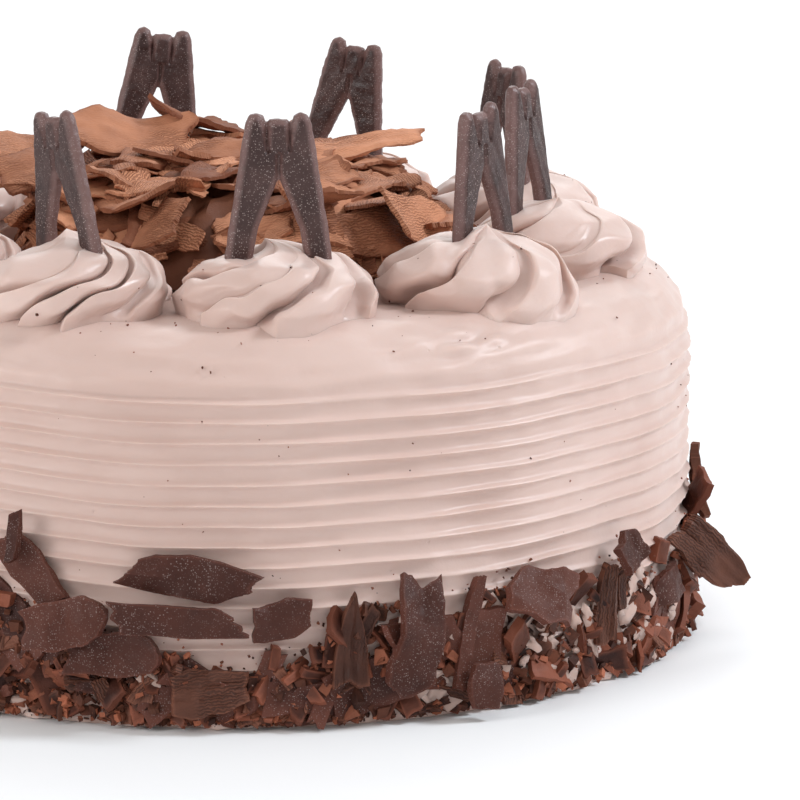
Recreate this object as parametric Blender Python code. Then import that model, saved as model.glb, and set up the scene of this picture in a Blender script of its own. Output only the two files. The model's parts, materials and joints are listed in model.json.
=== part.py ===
"""A frosted layer cake: combed sides, ten piped rosettes, ten chocolate ornaments, shavings and shards.

Units are metres, +Z is up and the front of the cake faces -Y. The origin is the middle of the base.
Azimuths are in degrees from the front, positive towards +X.
"""
import math

import bmesh
import bpy
import numpy as np
from mathutils import Euler, Matrix, Vector
from mathutils.bvhtree import BVHTree

MM = 0.001
GAP = 0.35 * MM  # air left between neighbouring pieces

# Cake body
CAKE_RADIUS = 115 * MM
TOP_Z = 93.5 * MM
SHOULDER_RADIUS = 19 * MM
SHOULDER_ANGLES = (24, 41, 57, 73, 90)
BASE_CHAMFER = 2 * MM
TOP_RIDGE_Z = 78.8 * MM
RIDGE_PITCH = 4.9 * MM
RIDGE_COUNT = 12
GROOVE_DEPTH = 1.0 * MM
BODY_SEGMENTS = 40

# Piped rosettes: azimuth, then ring radius and own radius in mm
ROSETTES = (
    (-29, 82.5, 23.6), (6, 80.5, 24.8), (43, 84, 24.8), (80, 80, 24.0), (122, 85, 25.2),
    (161, 85, 25.0), (198, 85, 24.8), (236, 85, 23.6), (268, 85, 22.9), (299.5, 85, 21.8),
)
ROSETTE_HEIGHT = (14.5 * MM, 16.5 * MM)
ROSETTE_TIP = 1.16  # how far its pulled tip rises, as a share of its height
ROSETTE_TWIST = (75, 105)
ROSETTE_LOBES = 7
LOBE_WIDTHS = (0.6, 1.45)
POINTS_PER_LOBE = 3
LOBE_DEPTH = 0.32
CREST_AT = 0.3  # where in each lobe its crest lies
# Height and radius of each ring of a rosette, as shares of its height and radius, up to its tip
ROSETTE_RINGS = ((0.0, 0.95), (0.26, 1.0), (0.56, 0.9), (0.8, 0.66), (0.94, 0.33))
ROSETTE_BED_RINGS = (0.55, 0.79)

# Ornaments: an abstract A-frame, half outline from the middle of the top, in mm
ORNAMENT_HALF = (
    (0.0, -1.4), (2.2, -1.7), (3.0, -2.9), (3.7, -0.7), (5.3, 0.0), (6.9, -0.5), (7.8, -2.4),
    (12.6, -33.0), (13.2, -42.6), (12.0, -44.0), (7.8, -44.0), (6.8, -42.6), (6.2, -35.0),
    (5.0, -28.0), (0.0, -15.5),
)
ORNAMENT_THICKNESS = 3.8 * MM
# Azimuth, ring radius and top height in mm, then heading, sideways lean and outward lean in degrees
ORNAMENT_STANCE = (
    (-29, 83, 141, -53, -7, 2), (6, 83, 142, 4, 0, 3), (46, 82, 140.5, 54, -7, 2),
    (80, 74.5, 140, 62, -2, -3), (122, 80, 138.5, 123, -3, 2), (162, 83, 140.5, 152, -8, 2),
    (197, 86, 143, 186, -6, 3), (236, 82, 140, 262, 4, -2), (268, 82, 141, 262, -4, 2),
    (299.5, 81, 140, 306, 5, 1),
)

# Heap of shavings on the top
HEAP_RADIUS = 54.5 * MM
HEAP_RISE = 23 * MM
HEAP_SLOPE = 4 * MM  # how much higher the left side is than the middle
HEAP_FLATNESS = 5  # the higher, the flatter its top and the steeper its edge
HEAP_SEGMENTS = 16
HEAP_RINGS = (0.45, 0.8)
HEAP_LOOSE_COUNT = 12
HEAP_APRON_COUNT = 11
# Shavings that stand out: x, y, z in mm, heading, tilt, roll, length, width in mm, curl
HEAP_FEATURES = (
    (-20, -50, 107, -6, 4, 34, 25, 18, 0.5),
    (24, -36, 110, 30, 14, 46, 34, 24, -0.3),
    (44, -32, 108, 60, 8, 50, 30, 16, 0.9),
    (-30, 4, 125, 12, 6, 22, 34, 22, 0.6),
    (-2, -10, 121, -16, -8, 28, 30, 20, 0.5),
    (-46, -12, 117, 30, 8, 22, 30, 18, -0.4),
    (30, 12, 120, 6, -6, 14, 36, 12, 0.2),
    (-12, 22, 125, 50, 16, 12, 30, 18, 0.7),
    (-57, 8, 121, 4, -4, 16, 32, 20, 0.4),
    (-55, -16, 117, -24, 0, 24, 26, 16, -0.3),
)

# Chocolate shards on the lower side
SHARD_THICKNESS = 2.4 * MM
# Azimuth, middle height, length and width in mm, then roll, outward lean, turn, curl and taper
FRONT_SHARDS = (
    (-6.5, 37, 31, 11, -6, 4, 0, 0.2, 0), (-7.0, 27.5, 30, 8, -2, 8, 0, 0.15, 0),
    (-15.5, 18, 22, 12, 4, 10, 0, 0.2, 0), (4.2, 27, 14, 10, 12, 8, 0, 0.1, 0),
    (12.3, 22, 22, 12, 86, 5, 0, 0.6, 0.75), (19.8, 22, 27, 15, 78, 8, 8, -1.0, 0),
    (27.0, 23, 27, 3.4, 74, 6, 0, 0.2, 0), (36.0, 28, 18, 15, -18, 24, 0, 0.1, 0),
    (48.5, 21, 19, 7, 84, 6, -25, 0.3, 0.3), (51.0, 33, 10, 10, 24, 16, 0, 0.1, 0),
    (64.0, 19, 15, 10, 6, 12, 0, -1.2, 0), (71.0, 24, 24, 12, -42, 0, -40, 0.2, 0),
    (87.5, 35, 19, 6, 76, 8, 0, 0.4, 0), (-25.0, 36, 20, 10, -48, 6, 0, 0.4, 0),
    (-4.0, 10, 18, 12, 8, 10, 0, 0.5, 0), (27.5, 8, 11, 9, 84, 10, 0, 0.2, 0),
    (-20.0, 26, 20, 13, 12, 8, 0, 0.2, 0), (-26.5, 45, 12, 3.2, 84, 4, 0, 0.3, 0),
)
AROUND_FROM, AROUND_TO, AROUND_COUNT = 98, 328, 20

# Small flakes and chips that are fused to the lower side
CHIP_COUNT = 92
CHIP_LENGTH = (8 * MM, 17 * MM)
CHIP_THICKNESS = (1.8 * MM, 3.4 * MM)
CHIP_BAND = (3 * MM, 33 * MM)
LOWEST = 0.6 * MM

COLOURS = {
    "cream": (0.74, 0.52, 0.43, 0.55),
    "ornament": (0.075, 0.038, 0.032, 0.35),
    "shaving": (0.24, 0.105, 0.055, 0.6),
    "shard": (0.075, 0.028, 0.02, 0.45),
}


def clear_scene():
    for old in list(bpy.data.objects):
        bpy.data.objects.remove(old, do_unlink=True)


def make_material(name):
    red, green, blue, roughness = COLOURS[name]
    material = bpy.data.materials.new(name)
    material.use_nodes = True
    shader = material.node_tree.nodes["Principled BSDF"]
    shader.inputs["Base Color"].default_value = (red, green, blue, 1)
    shader.inputs["Roughness"].default_value = roughness
    shader.inputs["Metallic"].default_value = 0
    return material


def make_object(name, vertices, faces, material):
    """One closed mesh object with its faces pointing out."""
    mesh = bpy.data.meshes.new(name)
    mesh.from_pydata([tuple(v) for v in vertices], [], faces)
    work = bmesh.new()
    work.from_mesh(mesh)
    bmesh.ops.recalc_face_normals(work, faces=work.faces)
    bmesh.ops.triangulate(work, faces=work.faces)
    work.to_mesh(mesh)
    work.free()
    mesh.materials.append(material)
    piece = bpy.data.objects.new(name, mesh)
    bpy.context.scene.collection.objects.link(piece)
    return piece


def polar(radius, azimuth, z=0.0):
    angle = math.radians(azimuth)
    return Vector((radius * math.sin(angle), -radius * math.cos(angle), z))


def keep_largest_shell(piece):
    """Drops loose scraps and the walls of sealed hollows."""
    work = bmesh.new()
    work.from_mesh(piece.data)
    bmesh.ops.dissolve_degenerate(work, dist=1e-6, edges=work.edges)
    bmesh.ops.triangulate(work, faces=work.faces)
    work.verts.ensure_lookup_table()
    unseen = set(work.verts)
    shells = []
    while unseen:
        shell, edge_of_search = set(), [unseen.pop()]
        while edge_of_search:
            vertex = edge_of_search.pop()
            shell.add(vertex)
            for edge in vertex.link_edges:
                other = edge.other_vert(vertex)
                if other in unseen:
                    unseen.discard(other)
                    edge_of_search.append(other)
        shells.append(shell)
    shells.sort(key=len)
    for shell in shells[:-1]:
        bmesh.ops.delete(work, geom=list(shell), context="VERTS")
    work.to_mesh(piece.data)
    work.free()


def combine(piece, others, operation, solver="EXACT"):
    """Applies one Boolean of a piece with a collection of others, which are then removed."""
    group = bpy.data.collections.new("operands")
    bpy.context.scene.collection.children.link(group)
    for other in others:
        bpy.context.scene.collection.objects.unlink(other)
        group.objects.link(other)
    boolean = piece.modifiers.new("combine", "BOOLEAN")
    boolean.operation = operation
    boolean.solver = solver
    boolean.operand_type = "COLLECTION"
    boolean.collection = group
    bpy.context.view_layer.update()
    done = piece.evaluated_get(bpy.context.evaluated_depsgraph_get())
    result = bpy.data.meshes.new_from_object(done)
    piece.modifiers.clear()
    piece.data = result
    for other in others:
        bpy.data.objects.remove(other, do_unlink=True)
    bpy.data.collections.remove(group)
    keep_largest_shell(piece)


def tree_of(piece):
    """A search tree of a piece's triangles in world space."""
    vertices = [piece.matrix_world @ v.co for v in piece.data.vertices]
    return BVHTree.FromPolygons(vertices, [tuple(p.vertices) for p in piece.data.polygons])


def outer_radius(z):
    """Radius of the side at a height, round the shoulder too."""
    rise = z - (TOP_Z - SHOULDER_RADIUS)
    if rise <= 0:
        return CAKE_RADIUS
    return CAKE_RADIUS - SHOULDER_RADIUS + math.sqrt(max(SHOULDER_RADIUS**2 - rise**2, 0.0))


def top_height(radius):
    """Height of the top at a radius, falling away over the shoulder."""
    over = radius - (CAKE_RADIUS - SHOULDER_RADIUS)
    if over <= 0:
        return TOP_Z
    return TOP_Z - SHOULDER_RADIUS + math.sqrt(max(SHOULDER_RADIUS**2 - over**2, 0.0))


def body_profile():
    """Radius and height from the rim of the base up to the flat top."""
    points = [(CAKE_RADIUS - BASE_CHAMFER, 0.0), (CAKE_RADIUS - GROOVE_DEPTH / 2, BASE_CHAMFER)]
    for row in reversed(range(RIDGE_COUNT)):
        crest = TOP_RIDGE_Z - row * RIDGE_PITCH
        groove = crest - RIDGE_PITCH / 2
        points.append((outer_radius(groove) - GROOVE_DEPTH, groove))
        points.append((outer_radius(crest), crest))
    for degrees in SHOULDER_ANGLES:
        angle = math.radians(degrees)
        out = CAKE_RADIUS - SHOULDER_RADIUS + SHOULDER_RADIUS * math.cos(angle)
        points.append((out, TOP_Z - SHOULDER_RADIUS + SHOULDER_RADIUS * math.sin(angle)))
    return points


def turned(name, profile, segments, material):
    """A profile turned about the vertical axis, closed by a fan at each end."""
    vertices, faces = [], []
    for radius, z in profile:
        vertices += [polar(radius, 360 * k / segments, z) for k in range(segments)]
    for row in range(len(profile) - 1):
        for k in range(segments):
            a, b = row * segments + k, row * segments + (k + 1) % segments
            faces.append((a, b, b + segments, a + segments))
    for row, flip in ((0, True), (len(profile) - 1, False)):
        middle = len(vertices)
        vertices.append(Vector((0, 0, profile[row][1])))
        for k in range(segments):
            a, b = row * segments + k, row * segments + (k + 1) % segments
            faces.append((b, a, middle) if flip else (a, b, middle))
    return make_object(name, vertices, faces, material)


def flake_shape(rng, length, width, thickness, curl, cells=(3, 1), grow=0.0, taper=0.0):
    """A bent sheet with an uneven outline. Curl is its turn in radians along its length."""
    rows, columns = cells
    ends = rng.uniform(-0.1, 0.1, columns + 1)
    sides = rng.uniform(0.78, 1.06, (rows + 1, 2)) * np.linspace(1, 1 - taper, rows + 1)[:, None]
    sides[0] *= rng.uniform(0.6, 1.0)
    sides[-1] *= rng.uniform(0.6, 1.0)
    warp = rng.uniform(-0.12, 0.12, (rows + 1, columns + 1))
    vertices = []
    for side in (-1, 1):
        for i in range(rows + 1):
            for j in range(columns + 1):
                along = (i / rows - 0.5) * (length + 2 * grow)
                if i in (0, rows):
                    along += ends[j] * length
                across = (j / columns - 0.5) * (width * sides[i][0 if 2 * j < columns else 1] + 2 * grow)
                rise = warp[i][j] * width
                angle = curl * along / length
                bend = length / curl if abs(curl) > 0.02 else 0.0
                x = bend * math.sin(angle) if bend else along
                z = bend * (1 - math.cos(angle)) if bend else 0.0
                offset = side * (thickness / 2 + grow)
                vertices.append((x - offset * math.sin(angle), across, z + rise + offset * math.cos(angle)))
    per_side = (rows + 1) * (columns + 1)
    faces = []
    for i in range(rows):
        for j in range(columns):
            a = i * (columns + 1) + j
            low = (a, a + 1, a + columns + 2, a + columns + 1)
            faces.append(low)
            faces.append(tuple(per_side + v for v in reversed(low)))
    rim = [i * (columns + 1) for i in range(rows + 1)]
    rim += [rows * (columns + 1) + j for j in range(1, columns + 1)]
    rim += [i * (columns + 1) + columns for i in range(rows - 1, -1, -1)]
    rim += [j for j in range(columns - 1, 0, -1)]
    for a, b in zip(rim, rim[1:] + rim[:1]):
        faces.append((a, b, b + per_side, a + per_side))
    return [Vector(v) for v in vertices], faces


def side_frame(azimuth, z, radius, roll, lean, turn):
    """Places a flake on the side: length along the side, thickness outwards."""
    outward = polar(1.0, azimuth)
    tangent = Vector((-outward.y, outward.x, 0.0))
    basis = Matrix((tangent, Vector((0, 0, 1)), outward)).transposed().to_4x4()
    spin = Euler((-math.radians(lean), math.radians(turn), math.radians(roll)), "ZXY").to_matrix().to_4x4()
    return Matrix.Translation(polar(radius, azimuth, z)) @ basis @ spin


def touches(vertices, faces, trees):
    tree = BVHTree.FromPolygons(vertices, faces)
    return any(tree.overlap(other) for other in trees)


def settled(shape, place, trees, start, reach, step=0.3 * MM):
    """Moves a flake out from a start until it clears its neighbours; None past its reach."""
    vertices, faces = shape
    out = start
    while out <= start + reach:
        frame = place(out)
        moved = [frame @ v for v in vertices]
        lowest = min(v.z for v in moved)
        if lowest < LOWEST:
            lift = Matrix.Translation((0, 0, LOWEST - lowest))
            frame = lift @ frame
            moved = [lift @ v for v in moved]
        if not touches(moved, faces, trees):
            return frame
        out += step
    return None


def add_shard(name, spec, seed, trees, material):
    """One large shard that leans against the side, or None where there is no room."""
    azimuth, z, length, width, roll, lean, turn, curl, taper = spec
    cells = (4, 2) if length * width > 200 else (3, 1)
    size = (length * MM, width * MM, SHARD_THICKNESS, curl)
    grown = flake_shape(np.random.default_rng(seed), *size, cells, GAP, taper)
    frame = settled(
        grown,
        lambda out: side_frame(azimuth, z * MM, out, roll, lean, turn),
        trees,
        CAKE_RADIUS + SHARD_THICKNESS / 2,
        9 * MM,
    )
    if frame is None:
        return None
    vertices, faces = flake_shape(np.random.default_rng(seed), *size, cells, taper=taper)
    return make_object(name, [frame @ v for v in vertices], faces, material)


def around_shards(rng):
    """Shards for the sides and back, like those at the front."""
    specs = []
    for k in range(AROUND_COUNT):
        share = (k + rng.uniform(0.2, 0.8)) / AROUND_COUNT
        azimuth = AROUND_FROM + (AROUND_TO - AROUND_FROM) * share
        upright = rng.random() < 0.4
        length, width = rng.uniform(16, 30), rng.uniform(8, 14)
        roll = rng.uniform(65, 110) if upright else rng.uniform(-28, 28)
        height = length / 2 + rng.uniform(1, 9) if upright else rng.uniform(10, 34)
        specs.append((azimuth, height, length, width, roll, rng.uniform(4, 16), rng.uniform(-10, 10),
                      rng.choice((-0.9, 0.2, 0.4, 0.7)), 0.5 if upright else 0.0))
    return specs


def add_shards(core, material):
    shards, trees = [], [tree_of(core)]
    specs = list(FRONT_SHARDS) + around_shards(np.random.default_rng(31))
    for number, spec in enumerate(specs):
        name = f"base_shard_{len(shards) + 1:02d}"
        shard = add_shard(name, spec, 400 + number, trees, material)
        if shard:
            shards.append(shard)
            trees.append(tree_of(shard))
    return shards


def chip_mesh(number, azimuth, z, size, turns, trees):
    """A chip that clears the shards, shortened where it must be; None where there is no room."""
    length, width, thickness, curl = size
    frame = side_frame(azimuth, z, CAKE_RADIUS + 0.3 * MM, *turns)
    for shrink in (1.0, 0.75, 0.55):
        shape = (length * shrink, width * shrink, thickness, curl, (1, 1))
        grown, faces = flake_shape(np.random.default_rng(900 + number), *shape, GAP)
        lowest = min((frame @ v).z for v in grown)
        lift = Matrix.Translation((0, 0, max(0.0, LOWEST - lowest)))
        if not touches([lift @ frame @ v for v in grown], faces, trees):
            vertices, faces = flake_shape(np.random.default_rng(900 + number), *shape)
            return [lift @ frame @ v for v in vertices], faces
    return None


def add_chips(core, shards, material):
    """Small chips half sunk in the side, low down and between the shards."""
    rng = np.random.default_rng(57)
    trees = [tree_of(shard) for shard in shards]
    chips = []
    low, high = CHIP_BAND
    for k in range(CHIP_COUNT):
        azimuth = 360 * (k + rng.uniform(-0.3, 0.3)) / CHIP_COUNT
        z = low + (high - low) * ((k * 0.618) % 1.0) ** 1.6
        length = rng.uniform(*CHIP_LENGTH)
        size = (length, length * rng.uniform(0.5, 0.85), rng.uniform(*CHIP_THICKNESS), rng.uniform(-0.4, 0.4))
        turns = rng.uniform((-90, -35, -40), (90, 45, 40))
        chip = chip_mesh(k, azimuth, z, size, turns, trees)
        if chip:
            chips.append(make_object(f"chip_{k}", *chip, material))
    combine(core, chips, "UNION")


def rosette_lobes(number):
    """Uneven lobes: where each one ends, as a share of the turn, and how deep each fold is."""
    rng = np.random.default_rng(60 + number)
    ends = np.cumsum(rng.uniform(*LOBE_WIDTHS, ROSETTE_LOBES))
    depths = rng.uniform(0.8, 1.3, ROSETTE_LOBES)
    return np.append(0, ends) / ends[-1], np.append(depths, depths[0])


def fold(turn, depths):
    """Radius share round a rosette: each lobe climbs steeply to its crest and swells away from it."""
    part = turn % 1.0
    climb = min(part / CREST_AT, 1.0) ** 1.4
    swell = math.cos(0.5 * math.pi * max(part - CREST_AT, 0.0) / (1 - CREST_AT)) ** 0.75
    lobe = climb if part < CREST_AT else swell
    return 1.0 - LOBE_DEPTH * np.interp(turn, range(ROSETTE_LOBES + 1), depths) * (1 - lobe)


def rosette_point(level, share, turn, size, lean):
    """A point of a rosette from its height share, its radius share and its turn in lobes."""
    azimuth, ring, radius, height, twist, phase, ends, depths = size
    swirl = 2 * math.pi * np.interp(turn, range(ROSETTE_LOBES + 1), ends) + phase + math.radians(twist) * level
    out = radius * share * (fold(turn, depths) if level > 0 else 0.9)
    point = polar(ring, azimuth) + Vector((out * math.cos(swirl), out * math.sin(swirl), 0)) + lean * level
    drop = TOP_Z - top_height(math.hypot(point.x, point.y))
    point.z = TOP_Z + GAP + height * level - drop * (1 - level)
    return point


def add_rosette(number, rng, material):
    azimuth, ring, radius = ROSETTES[number]
    size = (azimuth, ring * MM, radius * MM, rng.uniform(*ROSETTE_HEIGHT), rng.uniform(*ROSETTE_TWIST),
            rng.uniform(0, 2 * math.pi), *rosette_lobes(number))
    lean = polar(rng.uniform(0, 2.5) * MM, rng.uniform(0, 360))
    count = ROSETTE_LOBES * POINTS_PER_LOBE
    turns = [k / POINTS_PER_LOBE for k in range(count)]
    rings = [(0.0, share) for share in ROSETTE_BED_RINGS] + list(ROSETTE_RINGS)
    vertices = [rosette_point(level, share, turn, size, lean) for level, share in rings for turn in turns]
    faces = []
    for row in range(len(rings) - 1):
        for k in range(count):
            a, b = row * count + k, row * count + (k + 1) % count
            faces.append((a, b, b + count, a + count))
    for row, level in ((0, 0.0), (len(rings) - 1, ROSETTE_TIP)):
        middle = len(vertices)
        vertices.append(rosette_point(level, 0.0, 0.0, size, lean))
        faces += [(row * count + k, row * count + (k + 1) % count, middle) for k in range(count)]
    return make_object(f"cream_rosette_{number + 1:02d}", vertices, faces, material)


def ornament_outline(grow=0.0):
    """The whole outline in metres, mirrored from its half and grown by a margin."""
    half = [Vector((x * MM, 0, z * MM)) for x, z in ORNAMENT_HALF]
    left = [Vector((-p.x, 0, p.z)) for p in reversed(half[1:-1])]
    outline = half + left
    grown = []
    for k, point in enumerate(outline):
        before = (point - outline[k - 1]).normalized()
        after = (outline[(k + 1) % len(outline)] - point).normalized()
        across = (before + after).normalized()
        normal = Vector((-across.z, 0, across.x))
        stretch = 1 / max(0.5, abs(normal.dot(Vector((-after.z, 0, after.x)))))
        grown.append(point + normal * grow * stretch)
    return grown


def ornament_frame(number):
    azimuth, ring, top, heading, side_lean, out_lean = ORNAMENT_STANCE[number]
    foot = Vector((0, 0, min(z for _, z in ORNAMENT_HALF) * MM))
    turn = Matrix.Rotation(math.radians(heading), 4, "Z")
    roll = Matrix.Rotation(math.radians(side_lean), 4, "Y")
    pitch = Matrix.Rotation(math.radians(out_lean), 4, "X")
    spot = Matrix.Translation(polar(ring * MM, azimuth, top * MM) + foot)
    return spot @ turn @ roll @ pitch @ Matrix.Translation(-foot)


def add_ornament(name, number, material, grow=0.0):
    outline = ornament_outline(grow)
    frame = ornament_frame(number)
    count = len(outline)
    depth = Vector((0, ORNAMENT_THICKNESS / 2 + grow, 0))
    vertices = [frame @ (p - depth) for p in outline] + [frame @ (p + depth) for p in outline]
    faces = [tuple(range(count)), tuple(reversed(range(count, 2 * count)))]
    for k in range(count):
        after = (k + 1) % count
        faces.append((k, k + count, after + count, after))
    return make_object(name, vertices, faces, material)


def heap_rise(x, y):
    """Height of the heap's core over the top of the cake."""
    share = min(1.0, math.hypot(x, y) / HEAP_RADIUS)
    return (HEAP_RISE - HEAP_SLOPE * x / HEAP_RADIUS) * (1 - share**HEAP_FLATNESS) + 2 * MM


def heap_core(material):
    rng = np.random.default_rng(11)
    floor = TOP_Z + GAP
    rim = [HEAP_RADIUS * rng.uniform(0.93, 1.0) for _ in range(HEAP_SEGMENTS)]
    vertices = [polar(rim[k], 360 * k / HEAP_SEGMENTS, floor) for k in range(HEAP_SEGMENTS)]
    for share in sorted((1.0,) + HEAP_RINGS, reverse=True):
        for k in range(HEAP_SEGMENTS):
            spot = polar(rim[k] * share, 360 * k / HEAP_SEGMENTS)
            spot.z = floor + heap_rise(spot.x, spot.y) * rng.uniform(0.88, 1.08)
            vertices.append(spot)
    rows = len(HEAP_RINGS) + 1
    faces = [tuple(range(HEAP_SEGMENTS))]
    for row in range(rows):
        for k in range(HEAP_SEGMENTS):
            a, b = row * HEAP_SEGMENTS + k, row * HEAP_SEGMENTS + (k + 1) % HEAP_SEGMENTS
            faces.append((a, b, b + HEAP_SEGMENTS, a + HEAP_SEGMENTS))
    peak, last = len(vertices), rows * HEAP_SEGMENTS
    vertices.append(Vector((0, 0, floor + heap_rise(0, 0))))
    for k in range(HEAP_SEGMENTS):
        faces.append((last + k, last + (k + 1) % HEAP_SEGMENTS, peak))
    return make_object("shavings_heap", vertices, faces, material)


def heap_specs():
    """Hand-placed shavings first, then an apron round the edge and loose ones all over the heap."""
    specs = list(HEAP_FEATURES)
    rng = np.random.default_rng(19)
    for k in range(HEAP_APRON_COUNT):
        azimuth = 360 * k / HEAP_APRON_COUNT + rng.uniform(-9, 9)
        spot = polar(rng.uniform(47, 51), azimuth, TOP_Z / MM + rng.uniform(10, 14))
        specs.append((*spot, azimuth + rng.uniform(-20, 20), rng.uniform(-16, 16), rng.uniform(34, 58),
                      rng.uniform(20, 32), rng.uniform(13, 20), rng.uniform(-0.6, 0.5)))
    rng = np.random.default_rng(23)
    for k in range(HEAP_LOOSE_COUNT):
        radius = 50 * math.sqrt((k + 0.5) / HEAP_LOOSE_COUNT)
        spot = polar(radius * MM, 137.5 * k)
        z = (TOP_Z + heap_rise(spot.x, spot.y)) / MM + rng.uniform(-1, 2)
        specs.append((spot.x / MM, spot.y / MM, z, rng.uniform(-180, 180), rng.uniform(-24, 24),
                      rng.uniform(-24, 24), rng.uniform(17, 34), rng.uniform(10, 20), rng.uniform(-0.7, 1.1)))
    return specs


def add_heap(neighbours, material):
    core = heap_core(material)
    trees = [tree_of(piece) for piece in neighbours]
    shavings = []
    for number, spec in enumerate(heap_specs()):
        x, y, z, heading, tilt, roll, length, width, curl = spec
        turn = Euler([math.radians(a) for a in (roll, tilt, heading)]).to_matrix().to_4x4()
        rng = np.random.default_rng(700 + number)
        thickness = rng.uniform(1.3, 2.0) * MM
        for shrink in (1.0, 0.85, 0.7, 0.55):
            size = (length * shrink * MM, width * shrink * MM, thickness, curl)
            frame = Matrix.Translation((x * shrink * MM, y * shrink * MM, z * MM)) @ turn
            vertices, faces = flake_shape(np.random.default_rng(700 + number), *size, grow=GAP)
            grown = [frame @ v for v in vertices]
            lift = max(0.0, TOP_Z + 2 * GAP - min(v.z for v in grown))
            frame = Matrix.Translation((0, 0, lift)) @ frame
            if not touches([frame @ v for v in vertices], faces, trees):
                vertices, faces = flake_shape(np.random.default_rng(700 + number), *size)
                placed = [frame @ v for v in vertices]
                shavings.append(make_object(f"shaving_{number}", placed, faces, material))
                break
    combine(core, shavings, "UNION")
    return core


def main():
    clear_scene()
    materials = {name: make_material(name) for name in COLOURS}
    body = turned("cake_body", body_profile(), BODY_SEGMENTS, materials["cream"])
    toppings = []
    rng = np.random.default_rng(5)
    for number in range(len(ROSETTES)):
        rosette = add_rosette(number, rng, materials["cream"])
        slot = add_ornament("slot", number, materials["cream"], GAP)
        combine(rosette, [slot], "DIFFERENCE")
        toppings.append(rosette)
        name = f"chocolate_ornament_{number + 1:02d}"
        toppings.append(add_ornament(name, number, materials["ornament"]))
    add_heap(toppings, materials["shaving"])
    shards = add_shards(body, materials["shard"])
    add_chips(body, shards, materials["shard"])


main()
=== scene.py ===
"""Looks of the layer cake: combed mocha cream, piped rosettes, ornaments, shavings, shards and crumbs.

Units are metres, +Z is up and the front of the cake faces -Y. Azimuths are in degrees from the front.
"""
import json
from math import cos, degrees, pi, radians, sin, sqrt

import bmesh
import bpy
import numpy as np
from mathutils import Euler, Matrix, Vector
from mathutils.bvhtree import BVHTree
from numpy.random import default_rng

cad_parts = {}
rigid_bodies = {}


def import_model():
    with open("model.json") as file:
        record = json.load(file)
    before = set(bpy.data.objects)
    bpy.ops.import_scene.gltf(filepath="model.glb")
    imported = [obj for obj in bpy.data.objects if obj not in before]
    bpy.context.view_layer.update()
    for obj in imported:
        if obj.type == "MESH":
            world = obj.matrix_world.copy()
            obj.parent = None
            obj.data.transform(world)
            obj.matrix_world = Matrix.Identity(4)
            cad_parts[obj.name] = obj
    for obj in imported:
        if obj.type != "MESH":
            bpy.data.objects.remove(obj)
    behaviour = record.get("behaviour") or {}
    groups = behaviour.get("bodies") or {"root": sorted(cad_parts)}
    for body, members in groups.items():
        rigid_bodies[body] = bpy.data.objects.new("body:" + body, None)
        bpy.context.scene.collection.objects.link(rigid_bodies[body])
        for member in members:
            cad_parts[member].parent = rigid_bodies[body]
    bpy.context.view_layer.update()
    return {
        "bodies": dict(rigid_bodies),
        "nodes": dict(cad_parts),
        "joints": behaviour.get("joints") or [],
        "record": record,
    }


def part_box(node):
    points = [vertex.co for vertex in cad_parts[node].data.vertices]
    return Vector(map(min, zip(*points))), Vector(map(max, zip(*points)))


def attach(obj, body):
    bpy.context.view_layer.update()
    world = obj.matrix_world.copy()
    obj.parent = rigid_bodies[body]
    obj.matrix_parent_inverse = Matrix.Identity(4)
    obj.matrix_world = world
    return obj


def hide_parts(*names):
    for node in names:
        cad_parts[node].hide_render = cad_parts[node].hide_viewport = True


MM = 0.001

# Sizes and places shared with the solids
GAP = 0.35 * MM
CAKE_RADIUS = 115 * MM
TOP_Z = 93.5 * MM
SHOULDER_RADIUS = 19 * MM
TOP_RIDGE_Z = 78.8 * MM
RIDGE_PITCH = 4.9 * MM
GROOVE_DEPTH = 1.0 * MM
# Rosettes: azimuth, radius of their ring and own radius, in mm
ROSETTES = (
    (-29, 82.5, 23.6), (6, 80.5, 24.8), (43, 84, 24.8), (80, 80, 24.0), (122, 85, 25.2),
    (161, 85, 25.0), (198, 85, 24.8), (236, 85, 23.6), (268, 85, 22.9), (299.5, 85, 21.8),
)
ROSETTE_HEIGHT = (14.5 * MM, 16.5 * MM)
ROSETTE_TIP = 1.16
ROSETTE_TWIST = (75, 105)
ROSETTE_LOBES = 7
LOBE_WIDTHS = (0.6, 1.45)
LOBE_DEPTH = 0.32
CREST_AT = 0.3  # where in each lobe its crest lies
SHALLOW_FOLD = 0.4
ROSETTE_RINGS = ((0.0, 0.97), (0.26, 1.0), (0.56, 0.9), (0.8, 0.66), (0.94, 0.33), (1.16, 0.0))
# Half the outline of an ornament, in mm from the middle of its top
ORNAMENT_HALF = (
    (0.0, -1.4), (2.2, -1.7), (3.0, -2.9), (3.7, -0.7), (5.3, 0.0), (6.9, -0.5), (7.8, -2.4),
    (12.6, -33.0), (13.2, -42.6), (12.0, -44.0), (7.8, -44.0), (6.8, -42.6), (6.2, -35.0),
    (5.0, -28.0), (0.0, -15.5),
)
ORNAMENT_THICKNESS = 3.8 * MM
# Ornaments: azimuth, radius of their ring, height of the top, heading, side lean and outward lean
ORNAMENT_STANCE = (
    (-29, 83, 141, -53, -7, 2), (6, 83, 142, 4, 0, 3), (46, 82, 140.5, 54, -7, 2),
    (80, 74.5, 140, 62, -2, -3), (122, 80, 138.5, 123, -3, 2), (162, 83, 140.5, 152, -8, 2),
    (197, 86, 143, 186, -6, 3), (236, 82, 140, 262, 4, -2), (268, 82, 141, 262, -4, 2),
    (299.5, 81, 140, 306, 5, 1),
)
HEAP_RADIUS = 54.5 * MM
HEAP_RISE = 23 * MM
HEAP_SLOPE = 4 * MM
HEAP_FLATNESS = 5
HEAP_LOOSE_COUNT = 12
HEAP_APRON_COUNT = 11
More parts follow.
